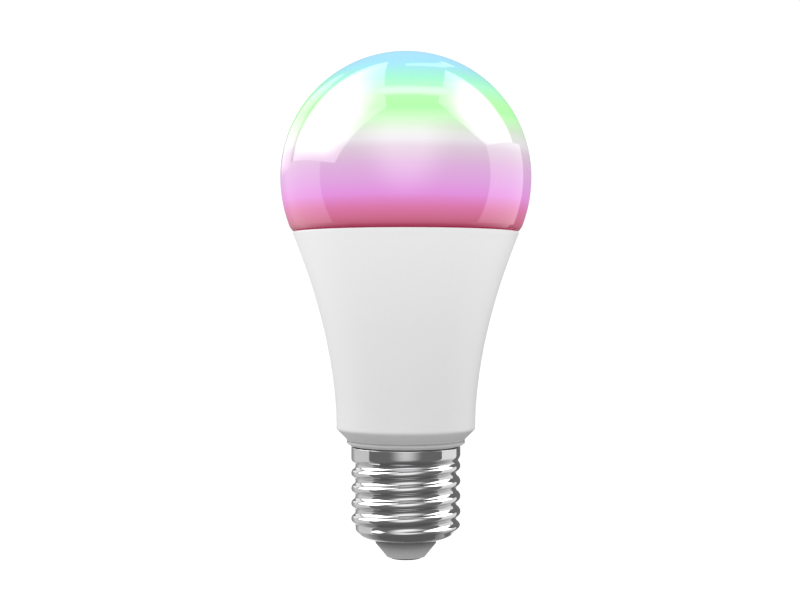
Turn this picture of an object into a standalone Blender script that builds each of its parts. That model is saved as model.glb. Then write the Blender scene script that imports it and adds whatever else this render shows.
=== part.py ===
"""A60 smart light bulb on an E27 screw cap, as one closed solid for each piece.

Metres, +Z up the lamp's axis. The origin is the centre of the bottom contact's flat face.
The sizes below are in millimetres and every mesh is scaled by MM as it is made.
"""

import math

import bmesh
import bpy
from mathutils import Matrix, Vector

MM = 0.001
GAP = 0.32  # air between pieces that touch on the real lamp

# Globe
GLOBE_R = 30.0
GLOBE_Z = 91.1
GLOBE_WALL = 1.2
TUCK_Z = 79.0  # the sphere ends here and the foot tucks in
FOOT_R = 27.1
SKIRT_BOTTOM_Z = 75.6

# Housing
RIM_Z = 78.0
RIM_R = 27.2
WAIST_Z = 31.55
WAIST_R = 16.6
FLARE_POWER = 1.82  # a trumpet: straight at the waist, widest at the rim
HOUSING_WALL = 1.3
CHAMFER_TOP = (16.3, 30.7)
CHAMFER_FOOT = (14.3, 28.7)
LIP_R = 14.15
LIP_Z = 27.0
FLOOR_Z = 28.4  # inside, where the neck's bore opens into the jacket
RIM_EDGE = 0.25  # softening of the rim's outer edge
NECK_R = 11.25
NECK_BOTTOM_Z = 9.5

# Screw shell: right-hand Edison thread, 7 turns to the inch
THREAD_PITCH = 25.4 / 7.0
CREST_R = 13.05
THREAD_DEPTH = 1.0
CREST_Z_AT_X = 7.68  # height of the lowest crest over +X
SHELL_WALL = 0.45
COLLAR_TOP_Z = 26.7
RUN_IN_Z = (22.4, 24.9)  # full thread below, plain collar above
RUN_OUT_Z = (6.0, 8.3)  # plain shoulder below, full thread above
SHOULDER_ARC_R = 3.0
SHOULDER_SLOPE = math.radians(17.0)
SHELL_MOUTH = (7.5, 4.4)

# Insulator and centre contact
CONE_RIM_R = 4.45
CONE_RIM_Z = 0.42
CONE_TOP_R = SHELL_MOUTH[0] - GAP
CONE_TOP_Z = 3.5
INSULATOR_TOP_Z = 7.6
RIVET_BORE_R = 1.35
CONTACT_R = 3.7
CONTACT_THICK = 1.0
RIVET_R = 1.0
RIVET_TOP_Z = 5.5

# Light engine
SHELF_TOP_Z = 73.0
SHELF_THICK = 1.2
CUP_WALL = 1.0
CUP_BOTTOM_Z = 34.0
PAD_R = 21.2
PAD_THICK = 0.5
BOARD_R = 22.2
BOARD_THICK = 1.6
WHITE_RING_R = 18.6
WHITE_LEDS = 12
COLOUR_RING_R = 9.5
COLOUR_LEDS = 4
SCREW_RING_R = 14.6
SCREW_HOLE_R = 1.45
WIFI_SLOT = (13.2, 2.2)
WIFI_Y = 2.2
PIN_SLOT = (11.6, 2.6)

# Driver
DRIVER_Y = -2.5
DRIVER_THICK = 1.6
TAIL_HALF = 8.2
HEAD_HALF = 12.0
DRIVER_Z = (13.5, 34.0, 66.0)  # bottom of the tail, start of the head, top edge

SEGMENTS = 36
SMALL_SEGMENTS = 16

PAD_TOP_Z = SHELF_TOP_Z + GAP + PAD_THICK
BOARD_BOTTOM_Z = PAD_TOP_Z + GAP
BOARD_TOP_Z = BOARD_BOTTOM_Z + BOARD_THICK
DRIVER_FRONT_Y = DRIVER_Y + DRIVER_THICK / 2 + GAP
DRIVER_BACK_Y = DRIVER_Y - DRIVER_THICK / 2 - GAP


def clear_scene():
    for thing in list(bpy.data.objects):
        bpy.data.objects.remove(thing, do_unlink=True)


def finish(name, colour, roughness, metallic=0.0):
    made = bpy.data.materials.new(name)
    made.use_nodes = True
    made.diffuse_color = (*colour, 1.0)
    shader = made.node_tree.nodes["Principled BSDF"]
    shader.inputs["Base Color"].default_value = (*colour, 1.0)
    shader.inputs["Roughness"].default_value = roughness
    shader.inputs["Metallic"].default_value = metallic
    return made


def place(name, bm, material, smooth=True):
    """Turns a finished bmesh, in millimetres, into one named object."""
    bmesh.ops.scale(bm, vec=(MM, MM, MM), verts=bm.verts)
    bmesh.ops.recalc_face_normals(bm, faces=bm.faces)
    mesh = bpy.data.meshes.new(name)
    bm.to_mesh(mesh)
    bm.free()
    mesh.materials.append(material)
    if smooth:
        mesh.shade_smooth()
        mesh.set_sharp_from_angle(angle=math.radians(35.0))
    made = bpy.data.objects.new(name, mesh)
    bpy.context.scene.collection.objects.link(made)
    return made


def turned_mesh(profile, segments):
    """Spins (radius, height) points round Z. A profile off the axis is a closed loop."""
    bm = bmesh.new()
    points = [bm.verts.new((radius, 0.0, height)) for radius, height in profile]
    edges = [bm.edges.new(pair) for pair in zip(points, points[1:])]
    if profile[0][0] > 0.0:
        edges.append(bm.edges.new((points[-1], points[0])))
    bmesh.ops.spin(
        bm,
        geom=points + edges,
        cent=(0.0, 0.0, 0.0),
        axis=(0.0, 0.0, 1.0),
        angle=2.0 * math.pi,
        steps=segments,
        use_merge=True,
    )
    bmesh.ops.remove_doubles(bm, verts=bm.verts, dist=0.001)
    return bm


def turned(name, profile, material, segments=SEGMENTS, at=(0.0, 0.0, 0.0)):
    bm = turned_mesh(profile, segments)
    bmesh.ops.translate(bm, vec=at, verts=bm.verts)
    return place(name, bm, material)


def box_mesh(low, high, bevel=0.0):
    low, high = Vector(low), Vector(high)
    bm = bmesh.new()
    placing = Matrix.Translation((low + high) / 2) @ Matrix.Diagonal((*(high - low), 1.0))
    bmesh.ops.create_cube(bm, size=1.0, matrix=placing)
    if bevel:
        bmesh.ops.bevel(bm, geom=bm.edges, offset=bevel, segments=1, affect="EDGES")
    return bm


def box(name, low, high, material, bevel=0.0):
    return place(name, box_mesh(low, high, bevel), material, smooth=False)


def arc(centre, radius, start, end, steps):
    """Points on a circle in the (radius, height) plane, angles in degrees from the +radius side."""
    return [
        (
            centre[0] + radius * math.cos(math.radians(start + (end - start) * i / steps)),
            centre[1] + radius * math.sin(math.radians(start + (end - start) * i / steps)),
        )
        for i in range(steps + 1)
    ]


def spread(start, end, steps):
    return [start + (end - start) * i / steps for i in range(steps + 1)]


def ramp(value, start, end):
    """0 at start, 1 at end, with level ends."""
    part = min(max((value - start) / (end - start), 0.0), 1.0)
    return part * part * (3.0 - 2.0 * part)


def cut(target, cutters):
    """Takes each cutter out of the target, and keeps the cutter as a hidden helper."""
    for cutter in cutters:
        cutter.hide_render = True
        cutter.display_type = "WIRE"
        boolean = target.modifiers.new(cutter.name, "BOOLEAN")
        boolean.operation = "DIFFERENCE"
        boolean.solver = "EXACT"
        boolean.object = cutter


# Housing curve, which the globe's skirt, the seal and the heat-sink cup all follow


def housing_outer(z):
    height = max(z - WAIST_Z, 0.0) / (RIM_Z - WAIST_Z)
    return WAIST_R + (RIM_R - WAIST_R) * height**FLARE_POWER


def housing_inner(z):
    return housing_outer(z) - HOUSING_WALL


def inside_housing(z):
    return housing_inner(min(z, RIM_Z)) - GAP


def make_diffuser(material):
    """Opal globe: a sphere whose foot tucks in and ends in a skirt inside the housing."""
    outer_end = math.degrees(math.asin((TUCK_Z - GLOBE_Z) / GLOBE_R))
    inner_r = GLOBE_R - GLOBE_WALL
    inner_end = math.degrees(math.asin((TUCK_Z + GLOBE_WALL - GLOBE_Z) / inner_r))
    ledge_z = RIM_Z + GAP
    skirt = [(inside_housing(z), z) for z in spread(ledge_z, SKIRT_BOTTOM_Z, 2)]
    profile = arc((0.0, GLOBE_Z), GLOBE_R, 90.0, 0.0, 9)
    profile += arc((0.0, GLOBE_Z), GLOBE_R, 0.0, outer_end, 3)[1:]
    profile += [(FOOT_R, ledge_z + 0.15), (FOOT_R - 0.15, ledge_z)]
    profile += skirt
    profile += [(radius - GLOBE_WALL, z) for radius, z in reversed(skirt)]
    profile += arc((0.0, GLOBE_Z), inner_r, inner_end, 90.0, 8)
    profile[0] = (0.0, GLOBE_Z + GLOBE_R)
    profile[-1] = (0.0, GLOBE_Z + inner_r)
    return turned("diffuser", profile, material)


def make_housing(material):
    """Trumpet-shaped jacket: flare, 45 degree chamfer, lip, and a neck that enters the cap."""
    bore = NECK_R - HOUSING_WALL
    floor_r = CHAMFER_FOOT[0] - 2.0
    profile = [(housing_inner(RIM_Z), RIM_Z), (RIM_R - RIM_EDGE, RIM_Z)]
    profile += [(housing_outer(z), z) for z in spread(RIM_Z - RIM_EDGE, WAIST_Z, 8)]
    profile += [(WAIST_R - 0.06, CHAMFER_TOP[1] + 0.45), CHAMFER_TOP, CHAMFER_FOOT]
    profile += [(LIP_R, CHAMFER_FOOT[1] - 0.15), (LIP_R, LIP_Z + 0.6), (LIP_R - 0.95, LIP_Z)]
    profile += [(NECK_R, LIP_Z), (NECK_R, NECK_BOTTOM_Z), (bore, NECK_BOTTOM_Z)]
    profile += [(bore, FLOOR_Z), (floor_r, FLOOR_Z)]
    profile += [(housing_inner(z), z) for z in spread(WAIST_Z, RIM_Z, 6)[:-1]]
    return turned("housing", profile, material)


# Screw shell


def rolled_height(angle, z):
    """0 at the thread's root, 1 at its crest: equal arcs, tangent halfway up the flank."""
    turns = (z - CREST_Z_AT_X) / THREAD_PITCH - angle / (2.0 * math.pi)
    off_crest = abs((turns + 0.5) % 1.0 - 0.5) * THREAD_PITCH
    quarter = THREAD_PITCH / 4.0
    half_depth = THREAD_DEPTH / 2.0
    radius = (quarter**2 + half_depth**2) / (2.0 * half_depth)
    if off_crest < quarter:
        drop = radius - math.sqrt(radius**2 - off_crest**2)
        return 1.0 - drop / THREAD_DEPTH
    off_root = 2.0 * quarter - off_crest
    return (radius - math.sqrt(radius**2 - off_root**2)) / THREAD_DEPTH


def thread_rise(angle, z):
    """Height of the rolled surface over the root radius, with the run-in and the run-out."""
    groove = ramp(z, RUN_IN_Z[1], RUN_IN_Z[0]) * (1.0 - rolled_height(angle, z))
    return THREAD_DEPTH * (1.0 - groove) * ramp(z, *RUN_OUT_Z)


def shoulder(offset, steps):
    """Rounded shoulder from the mouth to the root radius, moved inwards by offset."""
    tilt = math.pi / 2.0 - SHOULDER_SLOPE
    root_r = CREST_R - THREAD_DEPTH
    centre_r = root_r - SHOULDER_ARC_R
    join_r = centre_r + SHOULDER_ARC_R * math.cos(tilt)
    join_z = SHELL_MOUTH[1] + (join_r - SHELL_MOUTH[0]) * math.tan(SHOULDER_SLOPE)
    centre_z = join_z + SHOULDER_ARC_R * math.sin(tilt)
    mouth = (SHELL_MOUTH[0], SHELL_MOUTH[1] + offset / math.cos(SHOULDER_SLOPE))
    start = -math.degrees(tilt)
    return [mouth] + arc((centre_r, centre_z), SHOULDER_ARC_R - offset, start, 0.0, steps)


def shell_wall(offset, rise_steps, arc_steps):
    """Base points of one side of the shell, bottom to top, before the thread is added."""
    points = shoulder(offset, arc_steps)
    base_r = CREST_R - THREAD_DEPTH - offset
    bottom = points[-1][1]
    count = round((RUN_IN_Z[1] - bottom) / THREAD_PITCH * rise_steps)
    points += [(base_r, z) for z in spread(bottom, RUN_IN_Z[1], count)[1:]]
    return points + [(base_r, COLLAR_TOP_Z)]


def make_screw_shell(material):
    """Rolled sheet-metal shell, open at both ends, with the thread on both sides of its wall."""
    outside = shell_wall(0.0, 6, 4)
    inside = shell_wall(SHELL_WALL, 3, 3)
    loop = outside + inside[::-1]
    around = 28
    bm = bmesh.new()
    columns = []
    for i in range(around):
        angle = 2.0 * math.pi * i / around
        column = []
        for base_r, z in loop:
            radius = base_r + thread_rise(angle, z)
            column.append(bm.verts.new((radius * math.cos(angle), radius * math.sin(angle), z)))
        columns.append(column)
    for here, there in zip(columns, columns[1:] + columns[:1]):
        for k in range(len(loop)):
            after = (k + 1) % len(loop)
            bm.faces.new((here[k], there[k], there[after], here[after]))
    return place("screw_shell", bm, material)


def make_cap_insulator(material):
    """Cone under the shell, with a flange held above its mouth, a recess and a rivet bore."""
    slope = math.tan(SHOULDER_SLOPE)
    flange_z = SHELL_MOUTH[1] + SHELL_WALL / math.cos(SHOULDER_SLOPE) + GAP
    recess_z = CONTACT_THICK + GAP
    profile = [(CONTACT_R + GAP, CONE_RIM_Z), (CONE_RIM_R - 0.12, CONE_RIM_Z)]
    profile += [(CONE_RIM_R + 0.1, CONE_RIM_Z + 0.16), (CONE_TOP_R, CONE_TOP_Z)]
    profile += [(CONE_TOP_R, flange_z), (9.2, flange_z + 2.0 * slope + 0.08)]
    profile += [(10.2, flange_z + 1.6), (10.2, INSULATOR_TOP_Z), (RIVET_BORE_R, INSULATOR_TOP_Z)]
    profile += [(RIVET_BORE_R, recess_z), (CONTACT_R + GAP, recess_z)]
    return turned("cap_insulator", profile, material, segments=24)


def make_centre_contact(material):
    """Flat disc with a rolled edge and a rivet stem that the live wire meets."""
    profile = [(0.0, 0.0), (CONTACT_R - 0.3, 0.0), (CONTACT_R - 0.08, 0.1), (CONTACT_R, 0.3)]
    profile += [(CONTACT_R, CONTACT_THICK), (RIVET_R, CONTACT_THICK), (RIVET_R, RIVET_TOP_Z)]
    profile += [(0.0, RIVET_TOP_Z)]
    return turned("centre_contact", profile, material, segments=24)


# Light engine


def engine_cutters(name, bottom, top, wider=0.0):
    """Screw holes, the Wi-Fi slot and the pin slot, through one flat piece."""
    made = []
    for side in (-1, 1):
        profile = [(0.0, top), (SCREW_HOLE_R + wider, top), (SCREW_HOLE_R + wider, bottom), (0.0, bottom)]
        spot = (side * SCREW_RING_R, 0.0, 0.0)
        made.append(turned(f"{name}_screw_cut_{side + 2}", profile, None, segments=16, at=spot))
    for label, size, y in (("wifi", WIFI_SLOT, WIFI_Y), ("pin", PIN_SLOT, DRIVER_Y)):
        half_x = size[0] / 2 + wider
        half_y = size[1] / 2 + wider
        low = (-half_x, y - half_y, bottom)
        high = (half_x, y + half_y, top)
        made.append(box(f"{name}_{label}_cut", low, high, None))
    return made


def make_heat_sink_cup(material):
    """Drawn aluminium cup, open below, whose flat top carries the LED board."""
    wall = [(inside_housing(z), z) for z in spread(SHELF_TOP_Z - 0.6, CUP_BOTTOM_Z, 5)]
    profile = [(0.0, SHELF_TOP_Z), (wall[0][0] - 0.5, SHELF_TOP_Z)]
    profile += wall
    profile += [(radius - CUP_WALL, z) for radius, z in reversed(wall[1:])]
    profile += [(wall[0][0] - CUP_WALL - 0.3, SHELF_TOP_Z - SHELF_THICK), (0.0, SHELF_TOP_Z - SHELF_THICK)]
    cup = turned("heat_sink_cup", profile, material)
    cut(cup, engine_cutters("cup", SHELF_TOP_Z - SHELF_THICK - 2.0, SHELF_TOP_Z + 1.0))
    return cup


def make_disc(name, radius, bottom, thick, material, wider=0.0):
    profile = [(0.0, bottom + thick), (radius, bottom + thick), (radius, bottom), (0.0, bottom)]
    disc = turned(name, profile, material)
    cut(disc, engine_cutters(name, bottom - 1.0, bottom + thick + 1.0, wider))
    return disc


def make_seal_ring(material):
    """Silicone bead between the cup's shoulder and the globe's skirt."""
    low, high = SHELF_TOP_Z + GAP, SKIRT_BOTTOM_Z - GAP
    inner = BOARD_R + GAP
    profile = [(inner, low), (inside_housing(low) - 0.15, low), (inside_housing(low + 0.5), low + 0.5)]
    profile += [(inside_housing(high - 0.3), high - 0.3), (inside_housing(high) - 0.4, high), (inner, high)]
    return turned("seal_ring", profile, material)


def make_led(name, size, spot, turn, material):
    """Surface-mount LED: a low block with a dished window in its top."""
    bm = box_mesh((-size[0] / 2, -size[1] / 2, 0.0), (size[0] / 2, size[1] / 2, size[2]))
    top = [face for face in bm.faces if face.normal.z > 0.9]
    bmesh.ops.inset_individual(bm, faces=top, thickness=size[0] * 0.13, depth=-size[2] * 0.2)
    bmesh.ops.transform(bm, matrix=Matrix.Rotation(turn, 4, "Z"), verts=bm.verts)
    bmesh.ops.translate(bm, vec=spot, verts=bm.verts)
    return place(name, bm, material, smooth=False)


def ring_spot(radius, index, count, start, z):
    angle = start + 2.0 * math.pi * index / count
    return (radius * math.cos(angle), radius * math.sin(angle), z), angle


def make_leds(warm, cool, colour):
    z = BOARD_TOP_Z + GAP
    for i in range(WHITE_LEDS):
        spot, angle = ring_spot(WHITE_RING_R, i, WHITE_LEDS, math.pi / WHITE_LEDS, z)
        kind, material = (("warm", warm), ("cool", cool))[i % 2]
        make_led(f"{kind}_led_{i // 2 + 1}", (2.8, 3.5, 0.7), spot, angle, material)
    for i in range(COLOUR_LEDS):
        spot, angle = ring_spot(COLOUR_RING_R, i, COLOUR_LEDS, math.pi / COLOUR_LEDS, z)
        make_led(f"colour_led_{i + 1}", (5.0, 5.0, 1.5), spot, 0.0, colour)


def make_screws(material):
    """Pan-head screws that clamp the LED board to the cup."""
    head_r, head_high, shank_r = 1.9, 1.3, 1.1
    drive_long, drive_wide, drive_deep = 1.9, 0.42, 0.6
    under = BOARD_TOP_Z + GAP
    tip = SHELF_TOP_Z - SHELF_THICK - 1.9
    profile = [(0.0, under + head_high), (head_r - 0.9, under + head_high - 0.05)]
    profile += [(head_r - 0.2, under + head_high - 0.4), (head_r, under + 0.4), (head_r, under)]
    profile += [(shank_r, under), (shank_r, tip + 0.4), (0.0, tip)]
    for side, number in ((-1, 1), (1, 2)):
        spot = (side * SCREW_RING_R, 0.0, 0.0)
        screw = turned(f"led_screw_{number}", profile, material, SMALL_SEGMENTS, at=spot)
        drive = []
        for label, size in (("a", (drive_long, drive_wide)), ("b", (drive_wide, drive_long))):
            low = (spot[0] - size[0] / 2, -size[1] / 2, under + head_high - drive_deep)
            high = (spot[0] + size[0] / 2, size[1] / 2, under + head_high + 1.0)
            drive.append(box(f"screw_{number}_drive_{label}", low, high, None))
        cut(screw, drive)


# Driver


def make_driver_board(material):
    """T-shaped circuit board: a narrow tail in the cap and a wide head in the cup."""
    bottom, step, top = DRIVER_Z
    outline = [(-TAIL_HALF, bottom), (TAIL_HALF, bottom), (TAIL_HALF, step - 2.0), (HEAD_HALF, step + 1.8)]
    outline += [(HEAD_HALF, top), (-HEAD_HALF, top), (-HEAD_HALF, step + 1.8), (-TAIL_HALF, step - 2.0)]
    bm = bmesh.new()
    back = DRIVER_Y - DRIVER_THICK / 2
    face = bm.faces.new([bm.verts.new((x, back, z)) for x, z in outline])
    grown = bmesh.ops.extrude_face_region(bm, geom=[face])["geom"]
    moved = [item for item in grown if isinstance(item, bmesh.types.BMVert)]
    bmesh.ops.translate(bm, vec=(0.0, DRIVER_THICK, 0.0), verts=moved)
    return place("driver_board", bm, material, smooth=False)


def make_can(name, x, z, length, material):
    """Electrolytic capacitor standing along Z, with its crimp groove and a recessed vent end."""
    radius = 4.0
    spot = (x, DRIVER_FRONT_Y + radius + 0.2, z)
    profile = [(0.0, length - 0.15), (radius - 0.7, length - 0.15), (radius - 0.5, length)]
    profile += [(radius - 0.15, length), (radius, length - 0.25), (radius, 2.4), (radius - 0.45, 2.0)]
    profile += [(radius, 1.6), (radius, 0.2), (radius - 0.2, 0.0), (0.0, 0.0)]
    return turned(name, profile, material, SMALL_SEGMENTS, at=spot)


def make_inductor(core_material, wire_material):
    """Drum core with its winding between the two flanges."""
    radius, waist, flange, length = 4.0, 1.8, 1.2, 9.0
    spot = (-6.5, DRIVER_FRONT_Y + radius + 0.2, 36.0)
    core = [(0.0, length), (radius, length), (radius, length - flange), (waist, length - flange)]
    core += [(waist, flange), (radius, flange), (radius, 0.0), (0.0, 0.0)]
    turned("inductor_core", core, core_material, SMALL_SEGMENTS, at=spot)
    inner, outer = waist + GAP, radius - 0.5
    low, high = flange + GAP, length - flange - GAP
    coil = [(inner, high), (outer - 0.2, high), (outer, high - 0.4), (outer, low + 0.4)]
    coil += [(outer - 0.2, low), (inner, low)]
    turned("inductor_winding", coil, wire_material, SMALL_SEGMENTS, at=spot)


def ring_of_boxes(outer, inner, low, high):
    """A closed rectangular tube round the origin, from half sizes in X and Y."""
    bm = bmesh.new()
    loops = []
    for half, z in ((outer, low), (outer, high), (inner, high), (inner, low)):
        corners = ((-1, -1), (1, -1), (1, 1), (-1, 1))
        loops.append([bm.verts.new((sx * half[0], sy * half[1], z)) for sx, sy in corners])
    for here, there in zip(loops, loops[1:] + loops[:1]):
        for k in range(4):
            after = (k + 1) % 4
            bm.faces.new((here[k], here[after], there[after], there[k]))
    return bm


def make_transformer(core_material, bobbin_material, wire_material):
    """Double-E core, a flanged bobbin on its centre leg and the taped winding."""
    centre = (-3.4, DRIVER_FRONT_Y + 5.4, 51.8)
    half_x, half_z, half_y = 6.4, 5.5, 2.3
    leg, outer_leg, yoke = 1.6, 1.9, 1.8
    core_low = (centre[0] - half_x, centre[1] - half_y, centre[2] - half_z)
    core_high = (centre[0] + half_x, centre[1] + half_y, centre[2] + half_z)
    core = box("transformer_core", core_low, core_high, core_material, bevel=0.2)
    windows = []
    for side, number in ((-1, 1), (1, 2)):
        xs = sorted((centre[0] + side * leg, centre[0] + side * (half_x - outer_leg)))
        low = (xs[0], centre[1] - half_y - 1.0, centre[2] - half_z + yoke)
        high = (xs[1], centre[1] + half_y + 1.0, centre[2] + half_z - yoke)
        windows.append(box(f"core_window_{number}", low, high, None))
    cut(core, windows)
    reach = half_z - yoke - GAP
    hole = (leg + GAP, half_y + GAP)
    tube = (hole[0] + 0.4, hole[1] + 0.4)
    flange = (half_x - outer_leg - GAP, half_y + 2.6)
    bobbin = ring_of_boxes(flange, hole, -reach, reach)
    bmesh.ops.translate(bobbin, vec=centre, verts=bobbin.verts)
    body = place("transformer_bobbin", bobbin, bobbin_material, smooth=False)
    waist = ring_of_boxes((flange[0] + 1.0, flange[1] + 1.0), tube, -reach + 0.5, reach - 0.5)
    bmesh.ops.translate(waist, vec=centre, verts=waist.verts)
    cut(body, [place("bobbin_waist", waist, None, smooth=False)])
    coil = ring_of_boxes(
        (flange[0] - 0.3, flange[1] - 0.5),
        (tube[0] + GAP, tube[1] + GAP),
        -reach + 0.5 + GAP,
        reach - 0.5 - GAP,
    )
    bmesh.ops.translate(coil, vec=centre, verts=coil.verts)
    place("transformer_winding", coil, wire_material, smooth=False)


def make_fuse_resistor(material):
    """Fusible resistor with swollen end caps."""
    radius, length = 1.7, 7.0
    profile = [(0.0, length), (radius - 0.4, length), (radius, length - 0.5), (radius, length - 1.6)]
    profile += [(radius - 0.25, length - 2.0), (radius - 0.25, 2.0), (radius, 1.6), (radius, 0.5)]
    profile += [(radius - 0.4, 0.0), (0.0, 0.0)]
    spot = (-5.2, DRIVER_FRONT_Y + radius + 0.2, 15.0)
    return turned("fuse_resistor", profile, material, 16, at=spot)


def make_pin_header(material):
    """Five-way header on the driver board's top edge, whose pins pass through the LED board."""
    pins, pitch, half_y, height = 5, 2.1, 1.1, 2.4
    pin_inset, pin_above_board = 0.75, 1.2
    bottom = DRIVER_Z[2] + GAP
    bm = bmesh.new()
    rows = [
        [bm.verts.new((pitch * (i - pins / 2), DRIVER_Y + side * half_y, bottom)) for i in range(pins + 1)]
        for side in (-1, 1)
    ]
    base = [
        bm.faces.new((rows[0][i], rows[0][i + 1], rows[1][i + 1], rows[1][i]))
        for i in range(pins)
    ]
    grown = bmesh.ops.extrude_face_region(bm, geom=base)["geom"]
    bmesh.ops.translate(
        bm,
        vec=(0.0, 0.0, height),
        verts=[item for item in grown if isinstance(item, bmesh.types.BMVert)],
    )
    tops = [item for item in grown if isinstance(item, bmesh.types.BMFace)]
    bmesh.ops.inset_individual(bm, faces=tops, thickness=pin_inset)
    pin_faces = bmesh.ops.extrude_discrete_faces(bm, faces=tops)["faces"]
    rise = BOARD_TOP_Z + pin_above_board - bottom - height
    for face in pin_faces:
        bmesh.ops.translate(bm, vec=(0.0, 0.0, rise), verts=face.verts)
    return place("led_pin_header", bm, material, smooth=False)


def make_wifi(board_material, can_material):
    """Radio module standing in the slot, with its printed antenna above the LED board."""
    half_x, half_y, bottom, top = 6.2, 0.5, 58.4, 82.0
    can_x, can_deep, can_bottom, can_top = 5.0, 1.8, 59.6, 70.2
    low = (-half_x, WIFI_Y - half_y, bottom)
    box("wifi_board", low, (half_x, WIFI_Y + half_y, top), board_material)
    front = WIFI_Y + half_y + GAP
    can_high = (can_x, front + can_deep, can_top)
    box("wifi_shield", (-can_x, front, can_bottom), can_high, can_material, bevel=0.25)


def make_back_chips(material):
    """Flat packages on the driver board's back: name, x, bottom z and size."""
    chips = (
        ("bridge_rectifier", 0.0, 23.0, (4.8, 2.2, 6.5)),
        ("mains_chip", -3.0, 40.0, (5.0, 1.5, 4.0)),
        ("led_chip", 1.0, 56.0, (9.8, 1.5, 4.0)),
    )
    for name, x, z, size in chips:
        low = (x - size[0] / 2, DRIVER_BACK_Y - size[1], z)
        high = (x + size[0] / 2, DRIVER_BACK_Y, z + size[2])
        box(name, low, high, material, bevel=0.25)


def make_film_capacitor(material):
    size, left, bottom = (10.0, 4.6, 8.0), -0.6, 36.0
    high = (left + size[0], DRIVER_FRONT_Y + size[1], bottom + size[2])
    box("film_capacitor", (left, DRIVER_FRONT_Y, bottom), high, material, bevel=0.4)


def make_wire(name, route, radius, material):
    """Insulated lead along a smooth curve through its route."""
    curve = bpy.data.curves.new(name, "CURVE")
    curve.dimensions = "3D"
    curve.resolution_u = 3
    curve.bevel_depth = radius * MM
    curve.bevel_resolution = 2
    curve.use_fill_caps = True
    spline = curve.splines.new("BEZIER")
    spline.bezier_points.add(len(route) - 1)
    for point, spot in zip(spline.bezier_points, route):
        point.co = Vector(spot) * MM
        point.handle_left_type = "AUTO"
        point.handle_right_type = "AUTO"
    curve.materials.append(material)
    made = bpy.data.objects.new(name, curve)
    bpy.context.scene.collection.objects.link(made)
    return made


def make_wires(live_material, neutral_material):
    start_z = DRIVER_Z[0] - GAP
    live = [(-2.0, DRIVER_Y, start_z), (-2.0, DRIVER_Y, 11.6), (-0.6, -0.8, 9.2), (0.0, 0.0, 7.4)]
    live += [(0.0, 0.0, RIVET_TOP_Z + GAP)]
    make_wire("live_wire", live, 0.45, live_material)
    neutral = [(3.6, DRIVER_Y, start_z), (3.8, DRIVER_Y, 11.4), (5.6, DRIVER_Y, 9.0)]
    neutral += [(8.0, DRIVER_Y, 8.55), (10.7, DRIVER_Y, 8.55)]
    make_wire("neutral_wire", neutral, 0.4, neutral_material)


def main():
    clear_scene()
    white_plastic = finish("white_housing_plastic", (0.87, 0.87, 0.87), 0.38)
    opal_plastic = finish("opal_diffuser_plastic", (0.93, 0.80, 0.93), 0.15)
    nickel = finish("nickel_plated_shell", (0.75, 0.75, 0.76), 0.15, 1.0)
    grey_insulator = finish("grey_insulator_plastic", (0.42, 0.42, 0.42), 0.6)
    contact_metal = finish("tinned_contact", (0.55, 0.55, 0.55), 0.3, 1.0)
    aluminium = finish("drawn_aluminium", (0.78, 0.79, 0.80), 0.35, 1.0)
    silicone = finish("white_silicone", (0.82, 0.82, 0.80), 0.5)
    thermal_pad = finish("grey_thermal_pad", (0.45, 0.48, 0.52), 0.8)
    white_board = finish("white_led_board", (0.88, 0.88, 0.86), 0.4)
    green_board = finish("green_circuit_board", (0.04, 0.22, 0.10), 0.35)
    screw_steel = finish("zinc_screw_steel", (0.70, 0.70, 0.72), 0.3, 1.0)
    warm_phosphor = finish("warm_led_phosphor", (0.95, 0.62, 0.15), 0.4)
    cool_phosphor = finish("cool_led_phosphor", (0.93, 0.85, 0.25), 0.4)
    colour_lens = finish("colour_led_lens", (0.85, 0.88, 0.88), 0.2)
    black_package = finish("black_chip_package", (0.03, 0.03, 0.03), 0.5)
    shield_metal = finish("tinned_shield", (0.72, 0.73, 0.74), 0.25, 1.0)
    can_sleeve = finish("capacitor_sleeve", (0.03, 0.05, 0.12), 0.35)
    ferrite = finish("dark_ferrite", (0.09, 0.09, 0.10), 0.6)
    copper = finish("enamelled_copper", (0.72, 0.36, 0.16), 0.3, 1.0)
    yellow_tape = finish("yellow_winding_tape", (0.86, 0.68, 0.12), 0.4)
    film_box = finish("red_film_capacitor", (0.50, 0.10, 0.06), 0.35)
    resistor_lacquer = finish("green_resistor_lacquer", (0.20, 0.42, 0.24), 0.5)
    black_wire = finish("black_wire_sleeve", (0.03, 0.03, 0.03), 0.45)
    white_wire = finish("white_wire_sleeve", (0.85, 0.85, 0.83), 0.45)

    make_diffuser(opal_plastic)
    make_seal_ring(silicone)
    make_housing(white_plastic)
    make_screw_shell(nickel)
    make_cap_insulator(grey_insulator)
    make_centre_contact(contact_metal)

    make_heat_sink_cup(aluminium)
    make_disc("thermal_pad", PAD_R, SHELF_TOP_Z + GAP, PAD_THICK, thermal_pad, wider=0.5)
    make_disc("led_board", BOARD_R, BOARD_BOTTOM_Z, BOARD_THICK, white_board)
    make_screws(screw_steel)
    make_leds(warm_phosphor, cool_phosphor, colour_lens)
    make_pin_header(black_package)
    make_wifi(green_board, shield_metal)

    make_driver_board(green_board)
    make_fuse_resistor(resistor_lacquer)
    make_can("input_capacitor", 3.2, 15.5, 13.0, can_sleeve)
    make_can("output_capacitor", 8.2, 45.4, 12.0, can_sleeve)
    make_inductor(ferrite, copper)
    make_transformer(ferrite, black_package, yellow_tape)
    make_film_capacitor(film_box)
    make_back_chips(black_package)
    make_wires(black_wire, white_wire)


main()
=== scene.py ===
import math

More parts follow.
